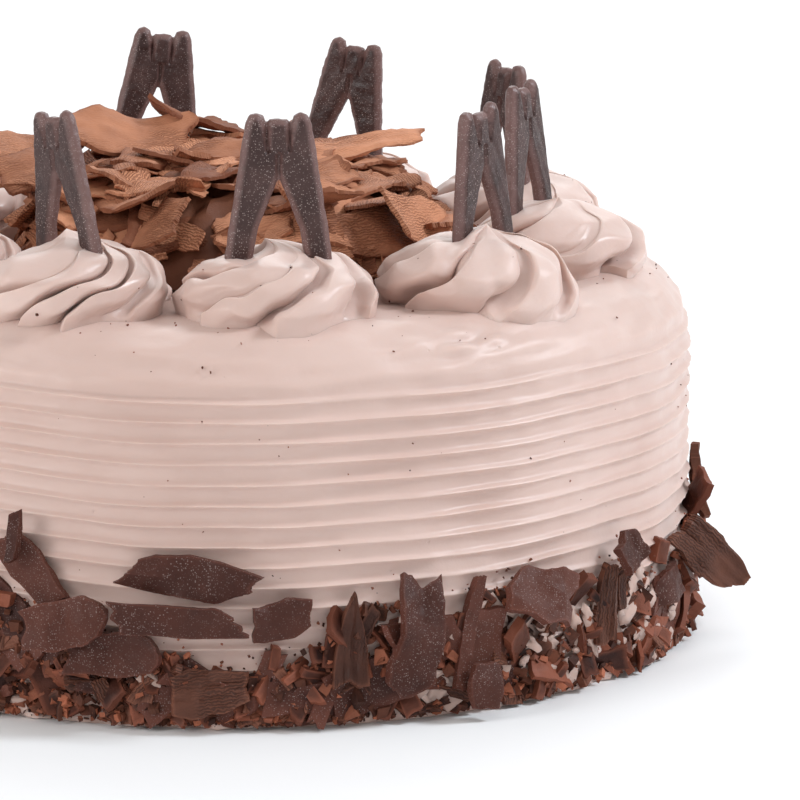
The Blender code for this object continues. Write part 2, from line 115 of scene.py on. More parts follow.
# Placed shavings: x, y, z, heading, tilt, roll, length, width and curl
HEAP_FEATURES = (
    (-20, -50, 107, -6, 4, 34, 25, 18, 0.5),
    (24, -36, 110, 30, 14, 46, 34, 24, -0.3),
    (44, -32, 108, 60, 8, 50, 30, 16, 0.9),
    (-30, 4, 125, 12, 6, 22, 34, 22, 0.6),
    (-2, -10, 121, -16, -8, 28, 30, 20, 0.5),
    (-46, -12, 117, 30, 8, 22, 30, 18, -0.4),
    (30, 12, 120, 6, -6, 14, 36, 12, 0.2),
    (-12, 22, 125, 50, 16, 12, 30, 18, 0.7),
    (-57, 8, 121, 4, -4, 16, 32, 20, 0.4),
    (-55, -16, 117, -24, 0, 24, 26, 16, -0.3),
)
SHARD_THICKNESS = 2.4 * MM
# Shards at the front: azimuth, height, length, width, roll, lean, turn, curl and taper
FRONT_SHARDS = (
    (-6.5, 37, 31, 11, -6, 4, 0, 0.2, 0), (-7.0, 27.5, 30, 8, -2, 8, 0, 0.15, 0),
    (-15.5, 18, 22, 12, 4, 10, 0, 0.2, 0), (4.2, 27, 14, 10, 12, 8, 0, 0.1, 0),
    (12.3, 22, 22, 12, 86, 5, 0, 0.6, 0.75), (19.8, 22, 27, 15, 78, 8, 8, -1.0, 0),
    (27.0, 23, 27, 3.4, 74, 6, 0, 0.2, 0), (36.0, 28, 18, 15, -18, 24, 0, 0.1, 0),
    (48.5, 21, 19, 7, 84, 6, -25, 0.3, 0.3), (51.0, 33, 10, 10, 24, 16, 0, 0.1, 0),
    (64.0, 19, 15, 10, 6, 12, 0, -1.2, 0), (71.0, 24, 24, 12, -42, 0, -40, 0.2, 0),
    (87.5, 35, 19, 6, 76, 8, 0, 0.4, 0), (-25.0, 36, 20, 10, -48, 6, 0, 0.4, 0),
    (-4.0, 10, 18, 12, 8, 10, 0, 0.5, 0), (27.5, 8, 11, 9, 84, 10, 0, 0.2, 0),
    (-20.0, 26, 20, 13, 12, 8, 0, 0.2, 0), (-26.5, 45, 12, 3.2, 84, 4, 0, 0.3, 0),
)
AROUND_FROM, AROUND_TO, AROUND_COUNT = 98, 328, 20
SHAVING_SHRINKS = (1.0, 0.85, 0.7, 0.55)
CHIP_COUNT = 92
CHIP_LENGTH = (8 * MM, 17 * MM)
CHIP_THICKNESS = (1.8 * MM, 3.4 * MM)
CHIP_BAND = (3 * MM, 33 * MM)
CHIP_SHRINKS = (1.0, 0.75, 0.55)
LOWEST = 0.6 * MM

# Seeds of the draws that the solids make too
ROSETTE_SEED = 5
LOBE_SEED = 60
AROUND_SEED = 31
SHARD_SEED = 400
CHIP_RING_SEED = 57
CHIP_SEED = 900
APRON_SEED = 19
LOOSE_SEED = 23
SHAVING_SEED = 700

# Seeds of what is drawn here alone
PIPING_SEED = 160
WOBBLE_SEED = 70
TONE_SEED = 5000
SMALLER_SEED = 29
BASE_CRUMB_SEED = 41
TOP_CRUMB_SEED = 47
DAB_SEED = 53

# Fine detail of the looks
ICING_COLUMNS = 340
ROWS_IN_A_RIDGE = (0.0, 0.05, 0.11, 0.19, 0.28, 0.4, 0.58, 0.72, 0.8, 0.86, 0.915, 0.96)
# How deep the combed surface lies, from one crest down to the next: an easy slope, then a steep lip
RIDGE_TURN = (0.0, 0.05, 0.14, 0.26, 0.4, 0.58, 0.72, 0.81, 0.88, 0.94, 1.0)
RIDGE_SINK = (0.0, 0.14, 0.52, 0.84, 0.98, 1.0, 0.93, 0.76, 0.46, 0.14, 0.0)
ROSETTE_ROWS = 44
COLUMNS_IN_A_LOBE = (0, 0.05, 0.1, 0.14, 0.18, 0.215, 0.245, 0.27, 0.288, 0.3, 0.312, 0.33, 0.355, 0.385,
                     0.42, 0.46, 0.51, 0.56, 0.61, 0.66, 0.71, 0.76, 0.81, 0.86, 0.91, 0.96)
TORN_PATCH_AT = (106 * MM, 27, 88.5 * MM)  # radius, azimuth and height
TORN_PATCH_SIZE = (16 * MM, 9 * MM, 3.2 * MM)
BEVEL_WIDTH = 1.7 * MM
LARGE_GRID = (26, 16)
CHIP_GRID = (10, 7)
LOOSE_GRID = (5, 4)
STRIPED_SHARDS = (5, 9, 12, 13, 15)
OUTERMOST = 121.5 * MM
OPEN_SHAVINGS = 4  # the first placed shavings lie open, with no smaller ones over them
DARK_SHAVING_EVERY = 7

# Smaller shavings: first seed, grid, thickness, whether they keep off the open ones, and their rings,
# each with count, radii, lengths, sink into the core and tilt
SMALLER_SHAVINGS = (
    (2000, (16, 11), (1.1, 1.9), True,
     ((84, (43, 54), (17, 28), (-3.5, -0.5), 10), (56, (0, 44), (18, 32), (-1.5, 0.5), 9))),
    (3000, (5, 4), (0.6, 1.1), False, ((110, (0, 55), (4, 11), (-1, 2), 30),)),
    (4000, (7, 5), (0.8, 1.4), False, ((110, (46, 56), (8, 15), (-3, 0), 16),)),
)
# Loose flakes at the base: name, seed, count, lengths, chocolate, groove depth and how far they turn
LOOSE_FLAKES = (
    ("base_slabs", 63, 80, (12, 20), "dark", 0.0, 0.35),
    ("base_flakes", 61, 430, (3.5, 11), "chip", 0.0, 1.0),
    ("base_splinters", 62, 600, (2.5, 9), "striped", 0.12 * MM, 1.0),
)
# Crumbs at the base: count, smallest and largest in mm, and how far they reach above the cover in mm
BASE_CRUMBS = ((1500, 2.6, 5.5, 0), (4300, 1.3, 3.0, 3), (2200, 0.5, 1.3, 9))
DAB_COUNT = 180
# Tiny crumbs on the rosettes, the shoulder, the side and round the heap
TOP_CRUMBS = (150, 170, 110, 420)

# Creams: roughness, pale colour and deep colour
CREAMS = {
    "side": (0.33, (0.628, 0.464, 0.410), (0.586, 0.420, 0.366)),
    "piped": (0.3, (0.640, 0.476, 0.422), (0.598, 0.432, 0.378)),
    # The base cream is the cream made darker: painted shade on the dabs among the crumbs
    "base": (0.5, (0.510, 0.355, 0.305), (0.440, 0.295, 0.245)),
}
# Chocolates: dark colour, light colour and what is special to each
CHOCOLATES = {
    "dark": ((0.032, 0.009, 0.006), (0.118, 0.039, 0.026), {"bloom_and_glints": 0.6, "ior": 1.29}),
    "chip": ((0.016, 0.004, 0.003), (0.235, 0.073, 0.041), {"ior": 1.29}),
    "moulded": ((0.022, 0.008, 0.007), (0.170, 0.095, 0.086),
                {"bloom_and_glints": 0.9, "roughness": 0.33, "ior": 1.37}),
    "striped": ((0.026, 0.007, 0.004), (0.185, 0.067, 0.039), {"scraped": 0.18 * MM}),
    "milk": ((0.190, 0.062, 0.030), (0.640, 0.284, 0.156), {"scraped": 0.24 * MM, "roughness": 0.62}),
    # The heap's core is darker than the shavings: painted shade in the gaps between them
    "core": ((0.140, 0.047, 0.023), (0.340, 0.134, 0.072), {}),
    "crumb": ((0.018, 0.005, 0.003), (0.385, 0.124, 0.066), {"roughness": 0.6}),
}
FLECK_COLOUR = (0.16, 0.07, 0.045)
# Colour of the pale specks on chocolate: partly bloom, partly painted glints of droplets
BLOOM_AND_GLINT_COLOUR = (0.34, 0.262, 0.245)

# Lights: name, place, size, power and colour
LIGHTS = (
    ("key", (1.3, -0.15, 1.15), 0.4, 18, (0.91, 0.985, 1.06)),
    ("overhead", (0.0, -0.6, 1.4), 0.9, 2.4, (1.0, 1.0, 1.0)),
    ("fill", (-1.2, -0.8, 0.6), 0.7, 7.6, (1.0, 1.0, 1.0)),
    ("backdrop", (0.1, 1.7, 1.4), 2.0, 17, (1.0, 1.0, 1.0)),
)
LIT_SPOT = (0, 0, 0.05)
FLOOR_RADIUS = 6.0

# Camera: a long lens 1.15 m from the middle of the cake, whose axis stands left of the picture's middle
PICTURE = 800
LENS_PIXELS = 4448.0
SENSOR = 36
CAMERA_DISTANCE = 1.15
CAMERA_ELEVATION = 11.89
AIM_HEIGHT = 42.7 * MM
AXIS_PIXEL = (242.8, 450.0)


def polar(radius, azimuth, z=0.0):
    angle = radians(azimuth)
    return Vector((radius * sin(angle), -radius * cos(angle), z))


def polar_points(radius, azimuth, z):
    """Many points at once, from arrays of radius, azimuth in radians and height."""
    return np.stack([radius * np.sin(azimuth), -radius * np.cos(azimuth), z + 0 * radius], -1)


def turned_points(radius, height, count):
    """Rows of points round the axis, from columns of radius and height."""
    azimuth = np.linspace(0, 2 * pi, count, endpoint=False)[None, :]
    return polar_points(radius + 0 * azimuth, azimuth, height)


def any_azimuths(rng, count):
    return rng.uniform(-pi, pi, count)


def held(values):
    return np.clip(values, 0, 1)


def ripples(seed, points, wavelength, count=10):
    """A smooth field of about -1 to 1 at some points, another for each seed, from plane waves."""
    rng = default_rng(seed)
    directions = rng.normal(size=(count, 3))
    directions /= np.linalg.norm(directions, axis=1)[:, None]
    lengths = wavelength * rng.uniform(0.6, 1.8, count)
    phases = rng.uniform(0, 2 * pi, count)
    total = np.zeros(points.shape[:-1])
    for direction, size, phase in zip(directions, lengths, phases):
        total += np.sin(points @ direction * (2 * pi / size) + phase)
    return total / sqrt(count / 2)


def top_height(radius):
    """Height of the top at a radius, falling away over the shoulder."""
    over = np.clip(radius - (CAKE_RADIUS - SHOULDER_RADIUS), 0, SHOULDER_RADIUS)
    return TOP_Z - SHOULDER_RADIUS + np.sqrt(SHOULDER_RADIUS**2 - over**2)


class Pile:
    """Gathers many small closed shapes into one mesh, with a tone and a flat map for each."""

    def __init__(self):
        self.vertices, self.faces, self.tones, self.maps, self.count = [], [], [], [], 0

    def add(self, vertices, faces, tone, flat=None):
        self.vertices.append(vertices)
        self.faces.append(faces + self.count)
        self.tones.append(tone + np.zeros(len(vertices)))
        self.maps.append(flat if flat is not None else vertices[:, :2])
        self.count += len(vertices)

    def make(self, name, material, smooth_angle=None):
        faces = np.concatenate(self.faces)
        mesh = new_mesh(name, np.concatenate(self.vertices).tolist(), faces.tolist())
        set_tone(mesh, np.concatenate(self.tones))
        flat = np.concatenate(self.maps).astype(np.float32)
        layer = mesh.uv_layers.new(name="flat")
        layer.data.foreach_set("uv", flat[faces.ravel()].ravel())
        return finish_mesh(name, mesh, material, smooth_angle)


def set_tone(mesh, values):
    tone = mesh.attributes.new("tone", "FLOAT", "POINT")
    tone.data.foreach_set("value", np.asarray(values, np.float32))


def new_mesh(name, vertices, faces):
    mesh = bpy.data.meshes.new(name)
    mesh.from_pydata(vertices, [], faces)
    return mesh


def new_object(name, data):
    made = bpy.data.objects.new(name, data)
    bpy.context.scene.collection.objects.link(made)
    return made


def finish_mesh(name, mesh, material, smooth_angle=None):
    """Points the faces outwards, shades the mesh and makes its object."""
    work = bmesh.new()
    work.from_mesh(mesh)
    bmesh.ops.recalc_face_normals(work, faces=work.faces)
    work.to_mesh(mesh)
    work.free()
    if smooth_angle is not None:
        mesh.shade_smooth()
        mesh.set_sharp_from_angle(angle=radians(smooth_angle))
    mesh.materials.append(material)
    return new_object(name, mesh)


def add_piece(piece, slot, *nodes):
    """Rides on the cake in place of the solids that it stands for. The slot is not used."""
    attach(piece, "root")
    if nodes:
        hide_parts(*nodes)
    return piece


def grid_faces(rows, columns, wrap):
    """Quads of a grid of vertices, closed round its columns where it wraps."""
    row = np.arange(rows - 1)[:, None] * columns
    column = np.arange(columns if wrap else columns - 1)[None, :]
    after = (column + 1) % columns
    quads = np.stack([row + column, row + after, row + columns + after, row + columns + column], -1)
    return quads.reshape(-1, 4)


def closed_grid(name, points):
    """A mesh from closed rows of points, with its first and last row filled."""
    rows, columns = points.shape[:2]
    faces = grid_faces(rows, columns, True).tolist()
    faces.append(list(range(columns)))
    faces.append(list(range((rows - 1) * columns, rows * columns)))
    return new_mesh(name, points.reshape(-1, 3).tolist(), faces)


# Materials


def feed(tree, made, **inputs):
    """Sets inputs of a node. Each is a value, or the socket that feeds it."""
    for key, value in inputs.items():
        socket = made.inputs[int(key[1:])] if key[0] == "_" else made.inputs[key.replace("_", " ")]
        if isinstance(value, bpy.types.NodeSocket):
            tree.links.new(value, socket)
        else:
            socket.default_value = value


def node(tree, kind, settings=(), **inputs):
    made = tree.nodes.new(f"ShaderNode{kind}")
    for key, value in dict(settings).items():
        setattr(made, key, value)
    feed(tree, made, **inputs)
    return made


def new_material(name):
    material = bpy.data.materials.new(name)
    material.use_nodes = True
    tree = material.node_tree
    return material, tree, tree.nodes["Principled BSDF"]


def ramp(tree, value, low, high, start=0.0, end=1.0):
    """Maps a value from one range to another, held at its ends."""
    made = node(tree, "MapRange", Value=value, From_Min=low, From_Max=high,
                To_Min=start, To_Max=end)
    return made.outputs[0]


def math_node(tree, operation, first, second):
    return node(tree, "Math", {"operation": operation}, _0=first, _1=second).outputs[0]


def mix_colour(tree, share, first, second):
    """Mixes two colours, each three values or a socket."""
    ends = [(*colour, 1) if isinstance(colour, tuple) else colour for colour in (first, second)]
    return node(tree, "Mix", {"data_type": "RGBA"}, _0=share, _6=ends[0], _7=ends[1]).outputs[2]


def noise(tree, where, scale, detail=3.0, roughness=0.55):
    made = node(tree, "TexNoise", Vector=where, Scale=scale, Detail=detail, Roughness=roughness)
    return made.outputs[0]


def specks(tree, where, per_metre, radius, share, smallest=0.0):
    """Dots of uneven size: 1 inside a dot, in a share of the cells of a random grid."""
    cells = node(tree, "TexVoronoi", {"feature": "F1"}, Vector=where, Scale=per_metre)
    chance = node(tree, "SeparateColor", Color=cells.outputs["Color"])
    size = ramp(tree, chance.outputs[0], 1 - share, 1.0, smallest, radius)
    edge = math_node(tree, "SUBTRACT", size, cells.outputs["Distance"])
    return ramp(tree, edge, 0.0, radius * 0.35)


def bump(tree, height, distance, strength=1.0, below=None):
    made = node(tree, "Bump", Height=height, Distance=distance, Strength=strength)
    if below is not None:
        tree.links.new(below, made.inputs["Normal"])
    return made.outputs[0]


def cream_material(name, roughness, pale, deep):
    """Soft cream, a little cloudy, with pits and fine flecks of chocolate."""
    material, tree, shader = new_material(name)
    where = node(tree, "TexCoord").outputs["Object"]
    tone = noise(tree, where, 22.0, 2.0)
    colour = mix_colour(tree, ramp(tree, tone, 0.35, 0.65), deep, pale)
    flecks = specks(tree, where, 260.0, 0.1, 0.06)
    colour = mix_colour(tree, flecks, colour, FLECK_COLOUR)
    rough = ramp(tree, tone, 0.3, 0.7, roughness, roughness + 0.14)
    fine = bump(tree, noise(tree, where, 620.0, 2.0), 0.13 * MM, 0.5)
    soft = bump(tree, noise(tree, where, 150.0, 2.0), 0.4 * MM, 0.3, fine)
    pits = bump(tree, specks(tree, where, 230.0, 0.14, 0.1), -0.3 * MM, 0.6, soft)
    feed(tree, shader, Base_Color=colour, Roughness=rough, Normal=pits, Subsurface_Weight=0.3,
         Subsurface_Radius=(1.0, 0.75, 0.62), Subsurface_Scale=3.0 * MM, Sheen_Weight=0.12, IOR=1.42)
    return material


def scrape_lines(tree, flat, where):
    """Fine wavering lines along a shaving, in patches."""
    lines = node(tree, "TexWave", {"bands_direction": "Y"}, Vector=flat, Scale=400.0,
                 Distortion=9.0, Detail=2.0, Detail_Scale=1.1, Detail_Roughness=0.6).outputs["Fac"]
    patches = ramp(tree, noise(tree, where, 60.0, 1.0), 0.41, 0.57, 0.1, 1.0)
    return math_node(tree, "MULTIPLY", ramp(tree, lines, 0.75, 0.1), patches)


def chocolate_material(name, dark, light, bloom_and_glints=0.0, scraped=0.0, roughness=0.5, ior=1.33):
    """Chocolate with fine pale specks, partly bloom and partly painted glints of droplets, and, on
    shavings, scrape lines along the flat map.
    """
    material, tree, shader = new_material(name)
    coordinates = node(tree, "TexCoord")
    where = coordinates.outputs["Object"]
    piece_tone = node(tree, "Attribute", {"attribute_name": "tone"}).outputs["Fac"]
    cloud = noise(tree, where, 130.0, 3.0)
    half_cloud = math_node(tree, "MULTIPLY", cloud, 0.5)
    tone = math_node(tree, "ADD", half_cloud, math_node(tree, "MULTIPLY", piece_tone, 0.75))
    colour = mix_colour(tree, ramp(tree, tone, 0.2, 1.0), dark, light)
    normal = bump(tree, noise(tree, where, 480.0, 3.0, 0.7), 0.42 * MM, 0.65)
    if scraped:
        lines = scrape_lines(tree, coordinates.outputs["UV"], where)
        normal = bump(tree, lines, -scraped, 0.9, normal)
        # The scrape grooves are darkened in colour too: painted shade in the grooves
        colour = mix_colour(tree, math_node(tree, "MULTIPLY", lines, 0.65), colour, dark)
    # Pale specks in patches: partly bloom, partly painted glints of droplets
    if bloom_and_glints:
        dots = specks(tree, where, 2300.0, 0.42, 0.95, 0.12)
        patches = ramp(tree, noise(tree, where, 85.0, 1.0), 0.38, 0.6, 0.3)
        dots = math_node(tree, "MULTIPLY", dots, math_node(tree, "MULTIPLY", patches, bloom_and_glints))
        colour = mix_colour(tree, dots, colour, BLOOM_AND_GLINT_COLOUR)
    rough = ramp(tree, cloud, 0.3, 0.7, roughness, roughness + 0.15)
    feed(tree, shader, Base_Color=colour, Roughness=rough, Normal=normal, IOR=ior)
    return material


def plain_material(name, colour, roughness):
    material, tree, shader = new_material(name)
    feed(tree, shader, Base_Color=(*colour, 1), Roughness=roughness)
    return material


# Icing


def icing_profile():
    """Radius, height and outward share of the rows, closest together at the crests."""
    shoulder_z = TOP_Z - SHOULDER_RADIUS
    shoulder = CAKE_RADIUS - SHOULDER_RADIUS
    steps = TOP_RIDGE_Z - RIDGE_PITCH * (np.arange(20)[:, None] + np.array(ROWS_IN_A_RIDGE))
    side = np.sort(steps[(steps > 0.8 * MM) & (steps < shoulder_z)])
    side = np.concatenate([[0.0, 0.4 * MM], side])
    angles = np.radians(np.linspace(0, 90, 58))
    inner = np.linspace(shoulder, 12 * MM, 26)[1:]
    radius = np.concatenate([CAKE_RADIUS + 0 * side, shoulder + SHOULDER_RADIUS * np.cos(angles), inner])
    height = np.concatenate([side, shoulder_z + SHOULDER_RADIUS * np.sin(angles), TOP_Z + 0 * inner])
    outward = np.concatenate([1 + 0 * side, np.cos(angles), 0 * inner])
    radius[0] -= 1.5 * MM
    return radius[:, None], height[:, None], outward[:, None]


def comb_relief(points, height):
    """How far the combed surface lies below its crests."""
    sink = np.interp((TOP_RIDGE_Z - height) / RIDGE_PITCH % 1.0, RIDGE_TURN, RIDGE_SINK)
    strength = 1.3 + 0.2 * ripples(5, points * (1, 1, 2.2), 30 * MM)
    above = held((height - TOP_RIDGE_Z - 1.0 * MM) / (3 * MM))
    faint = 0.5 * held(1 - (height - TOP_RIDGE_Z) / (13 * MM))
    faint *= np.clip(0.8 + 0.6 * ripples(11, points, 60 * MM), 0, 1.2)
    low = held((height - 5 * MM) / (8 * MM))
    return GROOVE_DEPTH * sink * (strength * (1 - above) + faint * above) * low


def cream_relief(points, height):
    """Lumps all over, smears and a torn patch near the top, and an uneven foot."""
    high = held((height - 80 * MM) / (5 * MM))
    low = held(1 - (height - 5 * MM) / (8 * MM))
    lumps = 0.2 * MM * ripples(6, points, 26 * MM) + 0.1 * MM * ripples(7, points, 9 * MM)
    smears = 0.25 * MM * ripples(8, points * (0.3, 0.3, 1.6), 7 * MM) * high
    from_patch = (points - np.array(polar(*TORN_PATCH_AT))) / TORN_PATCH_SIZE
    patch = np.exp(-(from_patch**2).sum(-1))
    torn = 0.9 * MM * patch * (0.5 + ripples(9, points * (0.6, 0.6, 1.5), 5 * MM))
    foot = low * (0.8 * MM * ripples(10, points, 8 * MM) - 0.6 * MM)
    return lumps + smears + torn + foot


def build_icing(material):
    """The cream over the whole cake, with its comb ridges."""
    radius, height, outward = icing_profile()
    points = turned_points(radius, height, ICING_COLUMNS)
    rows = height + 0 * points[..., 0]
    move = cream_relief(points, rows) - comb_relief(points, rows) - 0.12 * MM
    move[0] = 0
    direction = turned_points(outward, 0.0, ICING_COLUMNS)
    direction[..., 2] = np.sqrt(held(1 - outward**2))
    points = points + direction * move[..., None]
    waver = 0.4 * MM * ripples(3, points * (1, 1, 0.4), 90 * MM) + 0.14 * MM * ripples(4, points, 22 * MM)
    points[..., 2] += waver * outward * held((rows - 3 * MM) / (5 * MM))
    points[0, :, 2] = 0
    return finish_mesh("cream_side", closed_grid("cream_side", points), material, 60)


# Rosettes


def rosette_profile(levels):
    """Radius share at each level: a smooth curve through the solid's rings."""
    known = np.array(ROSETTE_RINGS)
    fine = np.linspace(0, ROSETTE_TIP, 400)
    shares = np.interp(fine, known[:, 0], known[:, 1])
    kernel = np.hanning(45) / np.hanning(45).sum()
    padded = np.concatenate([np.full(22, shares[0]), shares, np.linspace(shares[-1], -0.1, 22)])
    return np.clip(np.interp(levels, fine, np.convolve(padded, kernel, "valid")), 0, None)


def rosette_lobes(number):
    """The solid's lobes, some with a shallower fold: where each ends in the turn, and how deep it is."""
    rng = default_rng(LOBE_SEED + number)
    ends = np.cumsum(rng.uniform(*LOBE_WIDTHS, ROSETTE_LOBES))
    depths = rng.uniform(0.8, 1.3, ROSETTE_LOBES)
    depths[number % 2::3] *= SHALLOW_FOLD
    return np.append(0, ends) / ends[-1], np.append(depths, depths[0])


def fold(turn, depths):
    """Radius share round a rosette: each lobe climbs to a crisp crest and swells away from it."""
    part = turn % 1.0
    climb = held(part / CREST_AT) ** 1.4
    swell = np.cos(0.5 * pi * held((part - CREST_AT) / (1 - CREST_AT))) ** 0.75
    lobe = np.where(part < CREST_AT, climb, swell)
    depth = np.interp(turn, np.arange(ROSETTE_LOBES + 1), depths)
    streaks = 0.006 * np.sin(turn * 2 * pi * 4.3) * held(part - CREST_AT)
    return 1.0 - LOBE_DEPTH * depth * (1 - lobe) + streaks


def fold_shares(turn, levels, depths):
    """Radius shares of the folds at each level, weaker at the foot and the tip."""
    deepen = np.interp(levels, (0, 0.15, 0.5, 0.9, 1.16), (0.5, 0.88, 0.95, 1.0, 0.4))[:, None]
    return 1 - (1 - fold(turn, depths))[None, :] * deepen


def overhang(turn, levels):
    """Angle by which the crest of each lobe leans over the fold beside it."""
    crests = 0.25 * np.exp(-(((turn % 1.0 - CREST_AT) / 0.12) ** 2))[None, :]
    return crests * np.interp(levels, (0, 0.2, 0.9, 1.0), (0.2, 1, 1, 0))[:, None]


def rosette_points(number, rng):
    """Rows of points up a rosette: swirled folds, a leaning tip and a little wobble."""
    draw = rng.uniform
    azimuth, ring, radius = ROSETTES[number]
    height = draw(*ROSETTE_HEIGHT)
    twist = radians(draw(*ROSETTE_TWIST))
    phase = draw(0, 2 * pi)
    lean = np.array(polar(draw(0, 2.5) * MM, draw(0, 360)))
    ends, depths = rosette_lobes(number)
    own = default_rng(PIPING_SEED + number)
    levels = ROSETTE_TIP * np.linspace(0, 1, ROSETTE_ROWS) ** 1.1
    turn = (np.arange(ROSETTE_LOBES)[:, None] + np.array(COLUMNS_IN_A_LOBE)).ravel()
    angle = 2 * pi * np.interp(turn, np.arange(ROSETTE_LOBES + 1), ends) + phase
    level = levels[:, None] + 0 * angle
    sway = 0.1 * np.sin(level * 5 + own.uniform(0, 6))
    swirl = angle[None, :] + twist * level + sway - overhang(turn, levels)
    out = radius * MM * rosette_profile(levels)[:, None] * fold_shares(turn, levels, depths)
    points = np.stack([out * np.cos(swirl), out * np.sin(swirl), 0 * out], -1)
    points += np.array(polar(ring * MM, azimuth)) + lean * level[..., None]
    drop = TOP_Z - top_height(np.hypot(points[..., 0], points[..., 1]))
    tip = (held(level - 0.95) / 0.21)[..., None] ** 2
    points += np.array(polar(3.0 * MM, own.uniform(0, 360))) * tip
    points[..., 2] = TOP_Z + GAP + height * level - drop * held(1 - level)
    wobble = [ripples(WOBBLE_SEED + number + more, points, 12 * MM) for more in (0, 20, 40)]
    points += 0.5 * MM * np.stack(wobble, -1)
    points[0, :, 2] = TOP_Z - 0.5 * MM - drop[0]
    return points


def build_rosettes(material):
    """All the rosettes. Returns points on their surfaces, for crumbs."""
    rng = default_rng(ROSETTE_SEED)
    surfaces = []
    for number in range(len(ROSETTES)):
        name = f"cream_rosette_{number + 1:02d}"
        points = rosette_points(number, rng)
        mesh = closed_grid(f"piped_{name}", points)
        add_piece(finish_mesh(f"piped_{name}", mesh, material, 38), "rosette_cream", name)
        surfaces.append(points[4:-8].reshape(-1, 3))
    return np.concatenate(surfaces)


# Ornaments


def ornament_outline():
    half = [(x * MM, z * MM) for x, z in ORNAMENT_HALF]
    left = [(-x, z) for x, z in reversed(half[1:-1])]
    return half + left


def segment_distance(points, start, end):
    """Distance in the XZ plane from points to a segment."""
    flat = points[:, (0, 2)]
    start, along = np.array(start), np.array(end) - np.array(start)
    share = held(((flat - start) @ along) / (along @ along))
    return np.linalg.norm(flat - start - share[:, None] * along, axis=1)


def rim_distance(points):
    outline = ornament_outline()
    sides = zip(outline, outline[1:] + outline[:1])
    return np.min([segment_distance(points, start, end) for start, end in sides], axis=0)


def crease_depth(points):
    """Depth share of the V-shaped creases below the notches, and of the one above the gap."""
    notch_width = np.interp(points[:, 2], (-9.5 * MM, -1.0 * MM), (0.5 * MM, 2.0 * MM))
    creases = [(((0, -15.5), (0, -10.0)), 1.0 * MM)]
    creases += [(((side * 3.0, -0.5), (side * 2.5, -9.0)), notch_width) for side in (-1, 1)]
    depths = []
    for line, width in creases:
        start, end = [(x * MM, z * MM) for x, z in line]
        depths.append(held(1 - segment_distance(points, start, end) / width))
    return np.max(depths, axis=0)


def applied(mesh, kind, **settings):
    """A new mesh: the given one with a modifier applied."""
    piece = new_object("work", mesh)
    modifier = piece.modifiers.new("work", kind)
    for key, value in settings.items():
        setattr(modifier, key, value)
    bpy.context.view_layer.update()
    done = piece.evaluated_get(bpy.context.evaluated_depsgraph_get())
    result = bpy.data.meshes.new_from_object(done)
    bpy.data.objects.remove(piece, do_unlink=True)
    return result


def points_of(mesh):
    return np.array([v.co for v in mesh.vertices])


def ornament_block():
    """A plain block with the outline of an ornament."""
    outline = ornament_outline()
    depth = ORNAMENT_THICKNESS / 2
    count = len(outline)
    vertices = [(x, -depth, z) for x, z in outline] + [(x, depth, z) for x, z in outline]
    faces = [list(range(count)), list(reversed(range(count, 2 * count)))]
    faces += [[k, k + count, (k + 1) % count + count, (k + 1) % count] for k in range(count)]
    return new_mesh("moulded", vertices, faces)


def ornament_mesh(material):
    """One moulded ornament: broad bevels, soft corners and creases at the top, with a painted highlight
    on the bevels and crease walls.
    """
    even = applied(ornament_block(), "REMESH", mode="VOXEL", voxel_size=0.42 * MM)
    points = points_of(even)
    facing = held((np.abs(points[:, 1]) / (ORNAMENT_THICKNESS / 2) - 0.25) / 0.35)
    bevel = 1.15 * MM * held(1 - rim_distance(points) / BEVEL_WIDTH)
    sunk = np.maximum(bevel, 1.45 * MM * crease_depth(points))
    points[:, 1] -= np.sign(points[:, 1]) * facing * sunk
    points += 0.06 * MM * ripples(12, points, 3.5 * MM)[:, None]
    even.vertices.foreach_set("co", points.astype(np.float32).ravel())
    light = applied(even, "DECIMATE", ratio=0.4)
    light.shade_smooth()
    light.set_sharp_from_angle(angle=radians(26))
    light.materials.clear()
    light.materials.append(material)
    points = points_of(light)
    # Tone lighter along the bevels and on the walls of the creases: a painted highlight where the edges
    # catch the light
    edge = held(2.2 - 2.2 * rim_distance(points) / BEVEL_WIDTH)
    set_tone(light, 0.15 + 0.75 * np.maximum(edge, 0.9 * np.sin(pi * crease_depth(points))))
    return light


def ornament_frame(number):
    azimuth, ring, top, *angles = ORNAMENT_STANCE[number]
    foot = Vector((0, 0, min(z for _, z in ORNAMENT_HALF) * MM))
    turn, roll, pitch = (Matrix.Rotation(radians(a), 4, axis) for a, axis in zip(angles, "ZYX"))
    spot = Matrix.Translation(polar(ring * MM, azimuth, top * MM) + foot)
    return spot @ turn @ roll @ pitch @ Matrix.Translation(-foot)


def build_ornaments(material):
    shape = ornament_mesh(material)
    for number in range(len(ORNAMENT_STANCE)):
        name = f"chocolate_ornament_{number + 1:02d}"
        mesh = shape.copy()
        mesh.name = f"moulded_{name}"
        mesh.transform(ornament_frame(number))
        add_piece(new_object(mesh.name, mesh), "ornament_chocolate", name)


# Flakes, shavings and shards


def jagged(rng, count, knots=5):
    """An uneven row of about -1 to 1: straight broken stretches with a little fine roughness."""
    coarse = np.interp(np.linspace(0, 1, count), np.linspace(0, 1, knots), rng.uniform(-1, 1, knots))
    return 0.82 * coarse + 0.18 * rng.uniform(-1, 1, count)


def table_at(table, shares):
    """Reads each column of a table at some shares of its length."""
    at = np.linspace(0, 1, len(table))
    return np.stack([np.interp(shares, at, column) for column in np.asarray(table).T], 1)


def slab_faces(rows, columns):
    """Faces of two sheets of vertices, one over the other, joined round their rims."""
    sheet = grid_faces(rows, columns, False)
    lines = np.arange(rows * columns).reshape(rows, columns)
    rim = np.concatenate([lines[:, 0], lines[-1, 1:], lines[-2::-1, -1], lines[0, -2:0:-1]])
    after = np.roll(rim, -1)
    edge = np.stack([rim, after, after + lines.size, rim + lines.size], 1)
    return np.concatenate([sheet, lines.size + sheet[:, ::-1], edge])


